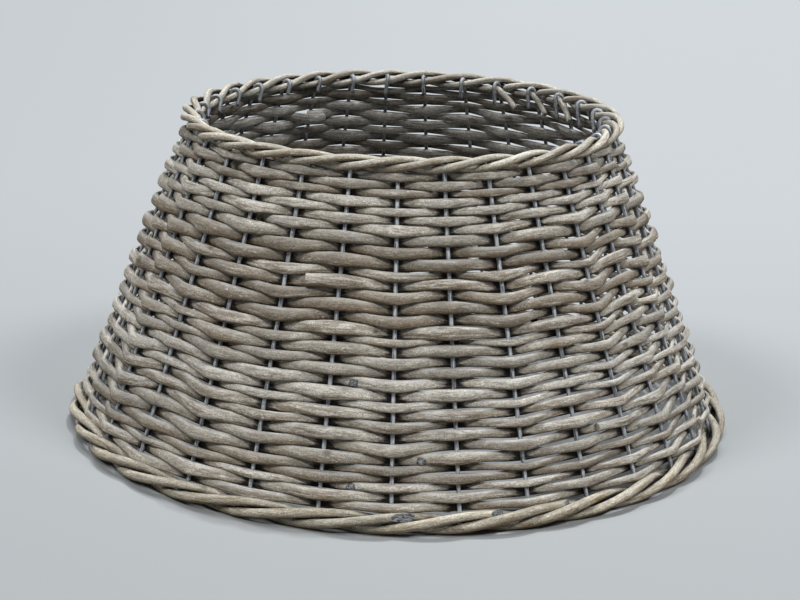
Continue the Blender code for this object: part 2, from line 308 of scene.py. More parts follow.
class Weave:
    """One spiral of rods over one wire and under one, which pass a wire at each crossing."""

    def __init__(self):
        crossings = np.arange(ROW_COUNT * WIRE_COUNT + 1)
        share = np.arange(ROD_COUNT + 1) / ROD_COUNT
        self.joints = 2 * np.round(share * crossings[-1] / 2).astype(int)
        self.joints[-1] = crossings[-1]
        self.thickness = self.handmade_thickness(crossings)
        self.heights = self.stacked_heights()
        side = np.where(crossings % 2 == 1, 1, -1)
        self.offsets = side * (self.thickness + WIRE_DIAMETER) / 2 * WAVE_SHARE

    def handmade_thickness(self, crossings):
        """Thickness at each crossing: a taper from butt to tip, a slow wave and some roughness."""
        is_tip = np.arange(ROD_COUNT + 1) % 2 == 0
        ends = np.where(is_tip, ROD_TIP_DIAMETER, ROD_BUTT_DIAMETER)
        bands = len(ROD_FULLNESS_SHARES)
        band = crossings / crossings[-1] * bands - 1 / 2
        fullness = np.interp(band, np.arange(bands), ROD_FULLNESS_SHARES)
        thickness = np.interp(crossings, self.joints, ends) * fullness
        phases = chance.uniform(0, 2 * pi, len(UNEVENNESS_SPANS))
        slow = wave(crossings, UNEVENNESS_SPANS, phases)
        rough = chance.normal(0, 1, len(crossings))
        thickness = thickness * (1 + ROD_UNEVENNESS * slow + CROSSING_UNEVENNESS * rough)
        from_end = np.minimum(crossings, crossings[-1] - crossings) / SPIRAL_END_CROSSINGS
        return SPIRAL_END_DIAMETER + (thickness - SPIRAL_END_DIAMETER) * np.minimum(from_end, 1)

    def stacked_heights(self):
        """Height of each crossing's centre up the wall.

        Each lies on the one a turn before it, and each wire's stack is stretched to fill the wall
        between the borders.
        """
        base = BOTTOM.half_height() + CLEARANCE
        space = WALL_SLANT - base - TOP.half_height() - CLEARANCE
        whole = np.append(self.thickness, np.zeros(WIRE_COUNT - 1)).reshape(-1, WIRE_COUNT)
        tops = np.cumsum(whole, axis=0)
        # The table's last row holds only the spiral's last crossing, over the wire it started from.
        tops_at_end = np.where(np.arange(WIRE_COUNT) == 0, tops[-1], tops[-2])
        centres = (tops - whole / 2) * space / tops_at_end
        return base + centres.ravel()[:len(self.thickness)]

    def azimuth(self, place):
        return wire_azimuth(SPIRAL_START_WIRE + place, eased(self.heights, place) / WALL_SLANT)

    def offset(self, place):
        """Distance outwards from the wires: straight between two, with a sharp bend at each."""
        low = np.clip(np.floor(place).astype(int), 0, len(self.offsets) - 2)
        share = place - low
        bend = np.arcsin(KINK_SHARPNESS * np.cos(pi * share)) / (2 * asin(KINK_SHARPNESS))
        blend = 1 / 2 - bend
        sag = CHORD_SAG * 4 * share * (1 - share)
        return self.offsets[low] * (1 - blend) + self.offsets[low + 1] * blend - sag

    def point(self, place, lap):
        """Centre of the rods at this place, moved out by the lap where two rods lie together."""
        offset = self.offset(place)
        height = eased(self.heights, place) - offset * WEAVE_TILT
        offset = offset + lap
        radius = WALL_LOW[0] + WALL_RISE[0] * height + offset * cos(LEAN)
        upright = WALL_LOW[1] + WALL_RISE[1] * height + offset * sin(LEAN)
        return space_point(self.azimuth(place), radius, upright)

    def out_of_crease_shade(self, place, turn):
        """Painted shade in the creases: 0 deep in a crease, 1 where the surface stands out from the
        rods above and below.
        """
        offset, thickness = self.offset(place), eased(self.thickness, place)
        proud = np.stack((
            2 * offset - thickness / 2 * (1 - np.cos(turn)),
            -2 * offset - thickness / 2 * (1 + np.cos(turn)),
        )) / (WAVE_SHARE * (thickness + WIRE_DIAMETER))
        edge = CREASE_SHADE_DEPTH_SHARE - CREASE_SHADE_EDGE_SHARE
        unshaded_outside, unshaded_inside = smooth_step((proud + CREASE_SHADE_DEPTH_SHARE) / edge)
        outer_share = (1 + np.cos(turn)) / 2
        return outer_share * unshaded_outside + (1 - outer_share) * unshaded_inside


class WallPath:
    """The path of a willow stick in the wall, whose turn is counted from the outer side."""

    def outward(self, place):
        return wall_normal(self.azimuth(place))

    def inner(self, place, turn):
        """0 on the side that faces out of the wall and 1 on the side that faces in."""
        return (1 - np.cos(turn)) / 2 + 0 * place


class RodPath(WallPath):
    """One rod of the weave. It starts inside or outside the end of the rod before it."""

    swell_spans = (1.7, 2.9, 5.3)
    flatness = ROD_FLATNESS
    squareness = ROD_SQUARENESS

    def __init__(self, weave, number):
        self.weave = weave
        self.joint = weave.joints[number]
        self.starts_outside = number in OUTER_JOINTS
        start = OUTER_START if self.starts_outside else INNER_START
        tail = OUTER_TAIL if number + 1 in OUTER_JOINTS else INNER_TAIL
        self.first = self.joint + (start if number > 0 else 0.0)
        self.last = weave.joints[number + 1] + (tail if number + 1 < ROD_COUNT else 0.0)
        self.hold = OUTER_LAP_HOLD if self.starts_outside else INNER_LAP_HOLD
        lap_share = OUTER_LAP_SHARE if self.starts_outside else -INNER_LAP_SHARE
        self.lap_share = lap_share * (number > 0)
        self.phases = chance.uniform(0, 2 * pi, len(self.swell_spans))

    def lap(self, place):
        """How far the start lies outside the rod before it, or inside where it is negative."""
        apart = 1 - smooth_step((place - self.joint - self.hold) / LAP_RUN)
        return self.lap_share * apart * eased(self.weave.thickness, place)

    def azimuth(self, place):
        return self.weave.azimuth(place)

    def point(self, place):
        return self.weave.point(place, self.lap(place))

    def radius(self, place):
        """Half the rod's height, which is least between two wires, where the rows press.

        The rods lie looser to the right, and most of all low on that side.
        """
        to_right = np.sin(self.azimuth(place))
        low_down = 1 - eased(self.weave.heights, place) / WALL_SLANT
        looseness = LOOSE_SHARE * to_right + LOOSE_LOW_SHARE * np.maximum(to_right, 0) * low_down
        rough = ROD_ROUGHNESS_SHARE * wave(place, self.swell_spans, self.phases)
        plump = ROD_SWELL * (1 - looseness + rough)
        squeeze = 1 - SQUEEZE_SHARE * np.sin(pi * place) ** 2
        return eased(self.weave.thickness, place) / 2 * plump * squeeze

    # Painted shade in the creases, as the weave gives it
    def out_of_crease_shade(self, place, turn):
        return self.weave.out_of_crease_shade(place, turn)


class StrandPath(WallPath):
    """A border strand, which goes round the border's ellipse once in three wires."""

    swell_spans = (2.3, 4.1, 7.9)
    flatness = 1.0
    squareness = 2.0

    def __init__(self, border, start_wire, number):
        self.border, self.start_wire, self.number = border, start_wire, number
        self.height_share = 0.0 if border.stands_on_floor else 1.0
        self.phases = chance.uniform(0, 2 * pi, len(self.swell_spans))

    def azimuth(self, wire):
        return wire_azimuth(self.start_wire + wire, self.height_share)

    def roll(self, wire):
        return INNERMOST_ROLL + (wire - self.number) * ROLL_PER_WIRE

    def ellipse(self, wire):
        roll = self.roll(wire)
        return self.border.across * np.cos(roll), self.border.along * np.sin(roll)

    def point(self, wire):
        across, along = self.ellipse(wire)
        return space_point(self.azimuth(wire), *self.border.place(across, along))

    def radius(self, wire):
        swell = 1 + STRAND_UNEVENNESS * wave(wire, self.swell_spans, self.phases)
        return self.border.strand_radius * STRAND_SWELL * swell

    def out_of_crease_shade(self, wire, turn):
        """Painted shade between the strands: 0 where the strand faces the border's core, 1 where it
        faces away.
        """
        return smooth_step(1 + np.cos(turn + self.roll(wire)))


def strand_ends(number, first_roll):
    """Wire positions where a strand starts and where the strand that follows it starts."""
    first = number + (first_roll - INNERMOST_ROLL) / ROLL_PER_WIRE
    if first < number:
        first += STRAND_COUNT
    return first, WIRE_COUNT + first - number + (number - WIRE_COUNT) % STRAND_COUNT


class TopStrandPath(StrandPath):
    """A strand of the top border, whose butt hangs down inside the wall before its first wire."""

    def __init__(self, number):
        super().__init__(TOP, TOP_START_WIRE, number)
        _, last = strand_ends(number, INNERMOST_ROLL)
        self.first, self.last = number - TAIL_RUN, last - LAST_TURN_SHARE

    def roll(self, wire):
        return super().roll(np.maximum(wire, self.number))

    def ellipse(self, wire):
        across, along = super().ellipse(wire)
        before = np.maximum((self.number - wire) / TAIL_RUN, 0)
        return across - TAIL_INWARD * before**TAIL_CURL, along - TAIL_DROP * before


class BottomStrandPath(StrandPath):
    """A strand of the bottom border. Its end lies over the next one's start, cut off outside."""

    def __init__(self, number):
        super().__init__(BOTTOM, BOTTOM_START_WIRE, number)
        self.first, self.meeting = strand_ends(number, BOTTOM_MEETING_ROLL)
        self.last = self.meeting + BOTTOM_OVERRUNS[number]

    def roll(self, wire):
        beyond = np.maximum(wire - self.meeting, 0) * ROLL_PER_WIRE
        turned = super().roll(np.minimum(wire, self.meeting))
        return turned + BOTTOM_END_TURN * (1 - np.exp(-beyond / BOTTOM_END_TURN))

    def ellipse(self, wire):
        across, along = super().ellipse(wire)
        over = LAY_OUT_SHARE * smooth_step((wire - self.meeting) / LAY_RUN + 1)
        under = LAY_IN_SHARE * smooth_step((self.first - wire) / LAY_RUN + 1)
        return across + self.border.strand_radius * (over - under), along


class WirePath:
    """A wire: straight up the wall, round the top border's inner strand, and down as a hook.

    Its place runs from 0 at the foot to 1 at the border, to 2 where the bend ends, and to 3 at the
    tip.
    """

    bend_end = pi - LEAN
    flatness = 1.0
    squareness = 2.0
    grip = TOP.wire_offset + TOP.across + HOOK_GRIP_SLACK
    foot = WALL_LOW + WALL_RISE * (WIRE_FOOT_HEIGHT - WALL_LOW[1]) / WALL_RISE[1]

    def __init__(self, number):
        self.number = number
        azimuth = number * WIRE_SPACING_ANGLE
        trend = HOOK_DROP_TREND * sin(azimuth)
        self.drop = HOOK_DROP + trend + HOOK_DROP_SPREAD * chance.uniform(-1, 1)
        lie = HOOK_SWING * sin(azimuth + HOOK_SWING_TURN)
        self.swing = lie + HOOK_SWING_SPREAD * chance.uniform(-1, 1)

    def point(self, place):
        """A line up to the border, an arc of the grip's radius, and a line down to one side."""
        to_border, fall = np.minimum(place, 1) - 1, np.maximum(place - 2, 0)
        bend = np.clip(place - 1, 0, 1)
        angle, grip = bend * self.bend_end, self.grip
        radius, height = TOP.place(grip * np.cos(angle) - TOP.across, grip * np.sin(angle))
        border_radius, border_height = TOP.place(grip - TOP.across, 0.0)
        radius = radius + to_border * (border_radius - self.foot[0])
        height = height + to_border * (border_height - self.foot[1])
        height = height - fall * self.drop * cos(self.swing)
        sideways = self.drop * sin(self.swing) * (fall - HOOK_BOW_SHARE * np.sin(pi * bend))
        azimuth = wire_azimuth(self.number, height / HEIGHT) - sideways / radius
        return space_point(azimuth, radius, height)

    def outward(self, place):
        """Along the border, so that it stays square to the wire round the bend."""
        azimuth = wire_azimuth(self.number, 0.5) + 0 * place
        return np.stack((np.cos(azimuth), np.sin(azimuth), 0 * azimuth), axis=-1)

    def radius(self, place):
        return WIRE_SWELL * WIRE_DIAMETER / 2 + 0 * place

    # No painted crease shade on the wires
    def out_of_crease_shade(self, place, turn):
        return 1 + 0 * place

    def inner(self, place, turn):
        """0 on the upright and 1 on the hook, which lies inside the wall."""
        return smooth_step(place - 1) + 0 * turn


def with_caps(rings, bevels):
    """The rings' places and shares of the radius, with two more rings at each end for its face."""
    first, last = rings[[0, -1]]
    places = np.concatenate(([first, first - bevels[0]], rings, [last + bevels[1], last]))
    whole = np.ones(len(rings))
    start, end = [CAP_CORE_SHARE, CAP_RIM_SHARE], [CAP_RIM_SHARE, CAP_CORE_SHARE]
    return places, np.concatenate((start, whole, end))[:, None]


def unit(vectors):
    return vectors / np.linalg.norm(vectors, axis=-1, keepdims=True)


class Stick:
    """A stick swept along a path.

    The surface is centre(place) + reach * corner * (flatness * cos turn * side + sin turn * over),
    where side and over are square to the path, reach is radius * share, and corner is
    (|cos turn|^squareness + |sin turn|^squareness)^(-1/squareness), which is 1 all round a circle.
    What would lie below the floor lies on it. At an end the place also moves by cut * reach *
    cos turn, which makes an oblique cut, and the share falls to 0, which closes the face.
    """

    step = 1e-3

    def __init__(self, path, rings, start, end, sides=STICK_SIDES, knots=()):
        self.path = path
        ends = rings[[0, -1]]
        ahead, behind = path.point(ends + self.step), path.point(ends - self.step)
        pace = np.linalg.norm(ahead - behind, axis=1) / (2 * self.step)
        end_reach = path.radius(ends) / pace
        self.places, self.shares = with_caps(rings, CAP_BEVEL_SHARE * end_reach)
        self.turn = np.arange(sides) * 2 * pi / sides
        place = self.places[:, None] + 0 * self.turn
        for cut, edge, reach, sign in zip((start, end), ends, end_reach, (1, -1)):
            place = place + sign * self.slant(cut, reach, place - edge)
        reach = path.radius(place) * self.knobbly(place, knots) * self.shares
        self.sweep(place, reach[..., None])
        self.poles = path.point(self.places[[1, -2]])
        self.measure(reach)
        self.find_scars(reach, knots)
        # Painted shade in the creases, kept for the finish
        self.open = path.out_of_crease_shade(place, self.turn)

    def slant(self, cut, reach, from_end):
        """How far an oblique cut moves each corner along the path, less away from the end."""
        span = max(CUT_FADE * cut * reach, self.step)
        fade = np.clip(1 - np.abs(from_end) / span, 0, 1)
        return cut * reach * np.cos(self.turn) * self.shares * fade

    def turned_from(self, knot):
        return (self.turn - knot.turn + pi) % (2 * pi) - pi

    def knobbly(self, place, knots):
        """Swelling of the radius at the knots, which are also kept for the finish."""
        swell = np.ones(place.shape)
        self.knotted = np.zeros(place.shape)
        for knot in knots:
            near = np.exp(-((place - knot.place) / knot.length) ** 2)
            bump = near * np.exp(-(self.turned_from(knot) / knot.width) ** 2)
            swell = swell * (1 + knot.height * (bump + near * KNOT_GIRTH_SHARE))
            self.knotted = np.maximum(self.knotted, bump * (1 - knot.scarred))
        return swell

    def sweep(self, place, reach):
        """The grid of the surface's points, a ring for each place."""
        run = unit(self.path.point(place + self.step) - self.path.point(place - self.step))
        side = self.path.outward(place)
        side = unit(side - (side * run).sum(-1, keepdims=True) * run)
        over = np.cross(run, side)
        turn = self.turn[:, None]
        power = self.path.squareness
        corner = (np.abs(np.cos(turn)) ** power + np.abs(np.sin(turn)) ** power) ** (-1 / power)
        spoke = corner * (self.path.flatness * np.cos(turn) * side + np.sin(turn) * over)
        self.grid = self.path.point(place) + reach * spoke
        self.grid[..., 2] = np.maximum(self.grid[..., 2], 0.0)

    def measure(self, reach):
        """What the finish reads: each point as it lies in the straight stick, and its side."""
        middle = self.path.point(self.places)
        steps = np.linalg.norm(np.diff(middle, axis=0), axis=1)
        self.length = np.concatenate(([0], np.cumsum(steps)))[:, None] + 0 * self.turn
        across = reach * np.cos(self.turn), reach * np.sin(self.turn)
        self.straight = np.stack((*across, self.length), axis=-1)
        self.cut = np.where(self.shares < 1, 1.0, 0.0) + 0 * self.turn
        self.inner = self.path.inner(self.places[:, None], self.turn)

    def find_scars(self, reach, knots):
        """How far each corner is from the nearest scar, along the stick and round it."""
        self.from_scar = np.full((*reach.shape, 3), SCAR_REACH)
        for knot in knots:
            if knot.scarred:
                middle = np.interp(knot.place, self.places[2:-2], self.length[2:-2, 0])
                along = np.abs(self.length - middle)
                around = np.abs(self.turned_from(knot)) * reach
                apart = np.stack((along, around, 0 * along), axis=-1)
                near = np.hypot(along, around) < SCAR_REACH
                self.from_scar = np.where(near[..., None], apart, self.from_scar)

    def corners(self):
        return np.concatenate((self.grid.reshape(-1, 3), self.poles))

    def faces(self):
        """Four-sided faces between rings and three-sided ones round the poles, facing outwards."""
        rings, sides = self.grid.shape[:2]
        here = np.arange(sides)
        there = (here + 1) % sides
        ring = np.arange(rings - 1)[:, None] * sides
        walls = (ring + here, ring + there, ring + sides + there, ring + sides + here)
        start_pole, end_pole = rings * sides, rings * sides + 1
        last = (rings - 1) * sides
        start = np.stack((start_pole + 0 * here, there, here), axis=-1)
        end = np.stack((end_pole + 0 * here, last + here, last + there), axis=-1)
        return np.stack(walls, axis=-1).reshape(-1, 4), np.concatenate((start, end))

    def with_poles(self, grid, start, end):
        """Values at the grid's corners followed by those at the two poles."""
        flat = grid.reshape(-1, *grid.shape[2:])
        return np.concatenate((flat, [start, end]))


def mesh_from(name, stick):
    """A mesh from a stick's arrays, shaded smooth."""
    mesh = bpy.data.meshes.new(name)
    corners = stick.corners()
    quads, triangles = stick.faces()
    loops = np.concatenate((quads.ravel(), triangles.ravel()))
    sizes = np.concatenate((np.full(len(quads), 4), np.full(len(triangles), 3)))
    starts = np.concatenate(([0], np.cumsum(sizes)[:-1]))
    mesh.vertices.add(len(corners))
    mesh.vertices.foreach_set("co", corners.astype(np.float32).ravel())
    mesh.loops.add(len(loops))
    mesh.loops.foreach_set("vertex_index", loops.astype(np.int32))
    mesh.polygons.add(len(sizes))
    mesh.polygons.foreach_set("loop_start", starts.astype(np.int32))
    mesh.polygons.foreach_set("use_smooth", np.ones(len(sizes), bool))
    mesh.update(calc_edges=True)
    mesh.validate()
    return mesh


def write_values(mesh, name, values):
    """Give each vertex a number or a vector for the finish to read."""
    kind, field = ("FLOAT", "value") if values.ndim == 1 else ("FLOAT_VECTOR", "vector")
    data = mesh.attributes.new(name, kind, "POINT").data
    data.foreach_set(field, values.astype(np.float32).ravel())


# Every stick's grain starts at a place of its own, up to this many metres off
GRAIN_SHIFT = 9


def add_piece(name, stick, finish, node, tint):
    """One finished stick that rides on the collar and stands for its node of the frame.

    `tint` is how light, how warm and how washed the whole stick is, each from 0 to 1.
    """
    mesh = mesh_from(name, stick)
    shift = chance.uniform(0, GRAIN_SHIFT, 3)
    ends = stick.straight[[0, -1], 0] * np.array([0, 0, 1])
    write_values(mesh, "straight", stick.with_poles(stick.straight, *ends) + shift)
    write_values(mesh, "cut", stick.with_poles(stick.cut, 1.0, 1.0))
    write_values(mesh, "inner", stick.with_poles(stick.inner, 0.5, 0.5))
    write_values(mesh, "knotted", stick.with_poles(stick.knotted, 0.0, 0.0))
    # Where the finish paints shade in the creases
    write_values(mesh, "open", stick.with_poles(stick.open, 1.0, 1.0))
    far_off = np.full((2, 3), SCAR_REACH)
    write_values(mesh, "from_scar", stick.with_poles(stick.from_scar, *far_off))
    write_values(mesh, "tint", np.tile(tint, (len(mesh.vertices), 1)))
    mesh.materials.append(finish)
    piece = bpy.data.objects.new(name, mesh)
    bpy.context.scene.collection.objects.link(piece)
    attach(piece, "root")
    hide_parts(node)


def buds(first, last):
    """Small buds along a stick, on all sides."""
    count = max(int((last - first) / BUD_SPACING), 1)
    even = np.linspace(first, last, count + 2)[1:-1]
    places = even + chance.uniform(-BUD_SPREAD, BUD_SPREAD, count)
    turns = chance.uniform(-pi, pi, count)
    heights = chance.uniform(*BUD_HEIGHTS, count)
    lengths = chance.uniform(*BUD_LENGTHS, count)
    widths = chance.uniform(*BUD_WIDTHS, count)
    return [Knot(*row, 0.0) for row in zip(places, turns, heights, lengths, widths)]


def side_shoots(first, last):
    """Scars where side shoots were cut off, facing out of the wall."""
    form = SIDE_SHOOT_TURN, SIDE_SHOOT_HEIGHT, SIDE_SHOOT_LENGTH, SIDE_SHOOT_WIDTH
    return [Knot(place, *form, 1.0) for place in SIDE_SHOOT_PLACES if first < place < last]


def rings_between(first, last, knots):
    """Places of a stick's rings: at even steps, and closer together over each knot."""
    even = np.linspace(first, last, int((last - first) * STEPS_PER_CROSSING) + 1)
    over_knot = np.linspace(-KNOT_RING_REACH, KNOT_RING_REACH, KNOT_RING_COUNT)
    close = [over_knot * knot.length + knot.place for knot in knots]
    rings = np.unique(np.concatenate((even, *close)))
    rings = rings[(rings >= first) & (rings <= last)]
    return rings[np.append(True, np.diff(rings) > CLOSEST_RINGS)]


def add_rods(weave, finish):
    """The rods of the wall, each with a tint of its own."""
    for number in range(ROD_COUNT):
        path = RodPath(weave, number)
        start = OUTER_JOINT_CUT if path.starts_outside else PLAIN_CUT
        knots = buds(path.first, path.last) + side_shoots(path.first, path.last)
        rings = rings_between(path.first, path.last, knots)
        stick = Stick(path, rings, start, PLAIN_CUT, knots=knots)
        name, node = f"willow_rod_{number + 1:02d}", f"weaver_{number + 1:02d}"
        add_piece(name, stick, finish, node, chance.uniform(0, 1, 3))


def add_strand(path, place_name, end, finish):
    knots = buds(path.first, path.last)
    rings = rings_between(path.first, path.last, knots)
    stick = Stick(path, rings, PLAIN_CUT, end, knots=knots)
    number = path.number + 1
    name, node = f"{place_name}_strand_{number}", f"{place_name}_border_strand_{number}"
    add_piece(name, stick, finish, node, chance.uniform(0, 1, 3))


def add_strands(top_finish, bottom_finish):
    for number in range(STRAND_COUNT):
        add_strand(TopStrandPath(number), "top", TOP_TAIL_CUT, top_finish)
        add_strand(BottomStrandPath(number), "bottom", BOTTOM_CUTS[number], bottom_finish)


def add_wires(finish):
    """The wires, with rings up the wall, round the bend and down the hook."""
    up, round_bend, down = WIRE_RING_COUNTS
    bend, hook = np.linspace(1, 2, round_bend)[1:], np.linspace(2, 3, down)[1:]
    rings = np.concatenate((np.linspace(0, 1, up), bend, hook))
    for number in range(WIRE_COUNT):
        stick = Stick(WirePath(number), rings, PLAIN_CUT, PLAIN_CUT, sides=WIRE_SIDES)
        name, node = f"steel_wire_{number + 1:02d}", f"wire_{number + 1:02d}"
        add_piece(name, stick, finish, node, chance.uniform(0, 1, 3))


def colour(red, green, blue):
    return (red, green, blue, 1.0)


# Willow bark: its wash, its two grounds, how much dust and painted top light lie on it, and its cut
# ends
Bark = namedtuple("Bark", "pale middle brown dust cut_dark cut_pale")
DRY_CUT = {"cut_dark": colour(0.16, 0.15, 0.13), "cut_pale": colour(0.42, 0.40, 0.35)}
WALL_BARK = Bark(
    pale=colour(0.52, 0.488, 0.432), middle=colour(0.33, 0.299, 0.249),
    brown=colour(0.23, 0.185, 0.135), dust=0.52, **DRY_CUT,
)
TOP_BARK = Bark(
    pale=colour(0.57, 0.54, 0.465), middle=colour(0.41, 0.37, 0.295),
    brown=colour(0.29, 0.23, 0.16), dust=0.40, **DRY_CUT,
)
BOTTOM_BARK = Bark(
    pale=colour(0.44, 0.405, 0.33), middle=colour(0.29, 0.25, 0.185),
    brown=colour(0.25, 0.175, 0.09), dust=0.20,
    cut_dark=colour(0.030, 0.034, 0.040), cut_pale=colour(0.30, 0.315, 0.325),
)

# Other colours of the willow, dust with a painted top light, and tints that darken what they lie on:
# painted shade beneath, inside and in the creases
FLECK_COLOUR = colour(0.74, 0.72, 0.66)
DUST_AND_TOP_LIGHT_COLOUR = colour(0.60, 0.61, 0.60)
BENEATH_SHADE_TINT = colour(0.56, 0.46, 0.34)
INNER_SHADE_TINT = colour(0.80, 0.828, 0.87)
CREASE_SHADE_COLOUR = colour(0.018, 0.014, 0.011)
CREASE_SHADE_SHARE = 0.97
BUD_COLOUR = colour(0.060, 0.050, 0.042)
SCAR_RIM_COLOUR = colour(0.050, 0.046, 0.044)
SCAR_DARK = colour(0.050, 0.057, 0.066)
SCAR_PALE = colour(0.36, 0.375, 0.385)

# Grains: how fine each is across the stick twice and along it, its detail and its roughness
Grain = namedtuple("Grain", "stretch detail roughness")
FIBRES = Grain((900.0, 900.0, 240.0), 4.0, 0.75)
PATCHES = Grain((90.0, 90.0, 24.0), 3.0, 0.6)
STREAKS = Grain((420.0, 420.0, 46.0), 3.0, 0.65)
FLECKS = Grain((1300.0, 1300.0, 420.0), 2.0, 0.5)
FLECK_PLACES = Grain((60.0, 60.0, 30.0), 1.0, 0.5)
LENGTHS = Grain((12.0, 12.0, 11.0), 1.0, 0.5)
SPECKS = Grain((1300.0, 1300.0, 900.0), 2.0, 0.7)
PITH = Grain((1100.0, 1100.0, 500.0), 3.0, 0.7)
RAGGEDNESS = Grain((700.0, 700.0, 500.0), 3.0, 0.6)

# Fits: a value's range, and the range that it is fitted to, which is 0 to 1 where none is given
Fit = namedtuple("Fit", "low high to_low to_high", defaults=(0.0, 1.0))
WHOLE = Fit(0.0, 1.0)
TINT_TO_LIGHT = Fit(0.0, 1.0, 0.90, 1.08)
TINT_TO_WARMTH = Fit(0.0, 1.0, -0.12, 0.12)
TINT_TO_WASH = Fit(0.0, 1.0, -0.10, 0.10)
WARM_PATCHES = Fit(0.40, 0.60)
WASHED_STREAKS = Fit(0.44, 0.66, 0.0, 0.8)
FLECK_EDGE = Fit(0.60, 0.68)
FLECK_PLACE_EDGE = Fit(0.52, 0.66, 0.0, 0.7)
LENGTHS_TO_LIGHT = Fit(0.3, 0.7, 0.84, 1.14)
FIBRES_TO_LIGHT = Fit(0.3, 0.7, 0.64, 1.34)
SPECKS_TO_LIGHT = Fit(0.34, 0.66, 0.66, 1.30)
FACING_UP = Fit(0.1, 0.95)
FACING_DOWN = Fit(0.20, -0.80)
FACING_IN = Fit(0.4, 0.9)
DUST_AND_TOP_LIGHT_PATCHES = Fit(0.25, 0.75, 0.25, 1.0)
LESS_SHADE_BENEATH_INSIDE = Fit(0.0, 1.0, 1.0, 0.2)
STREAKS_TO_SHADE_EDGE = Fit(0.3, 0.7, -0.25, 0.25)
BUD_DARKNESS = Fit(0.35, 0.95, 0.0, 0.62)
PITH_EDGE = Fit(0.38, 0.62)
CUT_EDGE = Fit(0.2, 0.9)
RAGGED_EDGE = Fit(0.2, 0.8, -0.0012, 0.0012)
SCAR_RIM = Fit(0.0042, 0.0032)
SCAR_FACE = Fit(0.0030, 0.0020)

# The willow's gloss and relief
WILLOW_ROUGHNESS = Fit(0.2, 0.8, 0.60, 0.80)
WILLOW_GLOSS = 0.15
FIBRE_RELIEF = 0.5
STREAK_RELIEF = 0.8
WILLOW_RELIEF_STRENGTH = 0.8
WILLOW_RELIEF_DEPTH = 0.0008

# Galvanised wire, with a painted shade on its hooks
STEEL_DARK = colour(0.085, 0.093, 0.105)
STEEL_PALE = colour(0.50, 0.525, 0.56)
STEEL_DUST = colour(0.58, 0.60, 0.62)
STEEL_CUT = colour(0.10, 0.105, 0.11)
HOOK_SHADE_TINT = colour(0.50, 0.50, 0.50)
DRAWN_STREAKS = Grain((1400.0, 1400.0, 60.0), 3.0, 0.6)
ZINC_SPOTS = Grain((500.0, 500.0, 240.0), 3.0, 0.6)
DRAWN_EDGE = Fit(0.36, 0.64)
DUSTY_SPOTS = Fit(0.50, 0.64, 0.0, 0.7)
STEEL_ROUGHNESS = Fit(0.3, 0.7, 0.46, 0.68)
STEEL_METALLIC = 0.35
STEEL_RELIEF_STRENGTH = 0.3
STEEL_RELIEF_DEPTH = 0.0003


class Finish:
    """A material whose nodes are added and joined one after another."""

    def __init__(self, name):
        self.material = bpy.data.materials.new(name)
        self.material.use_nodes = True
        self.tree = self.material.node_tree
        self.shader = self.tree.nodes["Principled BSDF"]

    def node(self, kind, **settings):
        node = self.tree.nodes.new(kind)
        for name, value in settings.items():
            setattr(node, name, value)
        return node

    def put(self, value, socket):
        """Join a node's output to the socket, or set the socket to a plain value."""
        if isinstance(value, bpy.types.NodeSocket):
            self.tree.links.new(value, socket)
        else:
            socket.default_value = value

    def paint(self, name, value):
        """Give the shader's input of this name its value."""
        self.put(value, self.shader.inputs[name])

    def parts(self, vector):
        """The three numbers of a vector."""
        node = self.node("ShaderNodeSeparateXYZ")
        self.put(vector, node.inputs[0])
        return node.outputs

    def fit(self, value, ranges):
        """The value's range, fitted smoothly to another range."""
        node = self.node("ShaderNodeMapRange", interpolation_type="SMOOTHSTEP")
        self.put(value, node.inputs["Value"])
        for name, number in zip(("From Min", "From Max", "To Min", "To Max"), ranges):
            self.put(number, node.inputs[name])
        return node.outputs["Result"]

    def reckon(self, operation, first, second):
        node = self.node("ShaderNodeMath", operation=operation)
        self.put(first, node.inputs[0])
        self.put(second, node.inputs[1])
        return node.outputs[0]

    def plus(self, first, second):
        return self.reckon("ADD", first, second)

    def times(self, first, second):
        return self.reckon("MULTIPLY", first, second)

    def blend(self, share, first, second, blend_type="MIX"):
        """A colour between two colours."""
        node = self.node("ShaderNodeMix", data_type="RGBA", blend_type=blend_type)
        self.put(share, node.inputs[0])
        self.put(first, node.inputs[6])
        self.put(second, node.inputs[7])
        return node.outputs[2]

    def tinted(self, share, ground, tint):
        """The colour, multiplied by a tint as far as the share says."""
        return self.blend(share, ground, tint, "MULTIPLY")

    def shaded(self, ground, shade):
        """The colour times a number."""
        grey = self.node("ShaderNodeCombineXYZ")
        for socket in grey.inputs:
            self.put(shade, socket)
        return self.tinted(1.0, ground, grey.outputs[0])

    def raised(self, height, strength, depth):
        """Let the surface follow a fine relief."""
        bump = self.node("ShaderNodeBump")
        self.put(height, bump.inputs["Height"])
        self.put(strength, bump.inputs["Strength"])
        self.put(depth, bump.inputs["Distance"])
        self.paint("Normal", bump.outputs[0])


class StickFinish(Finish):
    """The finish of a stick, whose grain runs in the stick as it was before it was bent."""

    def __init__(self, name):
        super().__init__(name)
        self.straight = self.attribute("straight", "Vector")

    def attribute(self, name, output="Fac"):
        return self.node("ShaderNodeAttribute", attribute_name=name).outputs[output]

    def noise(self, grain):
        scaled = self.node("ShaderNodeVectorMath", operation="MULTIPLY")
        self.put(self.straight, scaled.inputs[0])
        self.put(grain.stretch, scaled.inputs[1])
        noise = self.node("ShaderNodeTexNoise")
        self.put(scaled.outputs[0], noise.inputs["Vector"])
        self.put(1.0, noise.inputs["Scale"])
        self.put(grain.detail, noise.inputs["Detail"])
        self.put(grain.roughness, noise.inputs["Roughness"])
        return noise.outputs["Fac"]


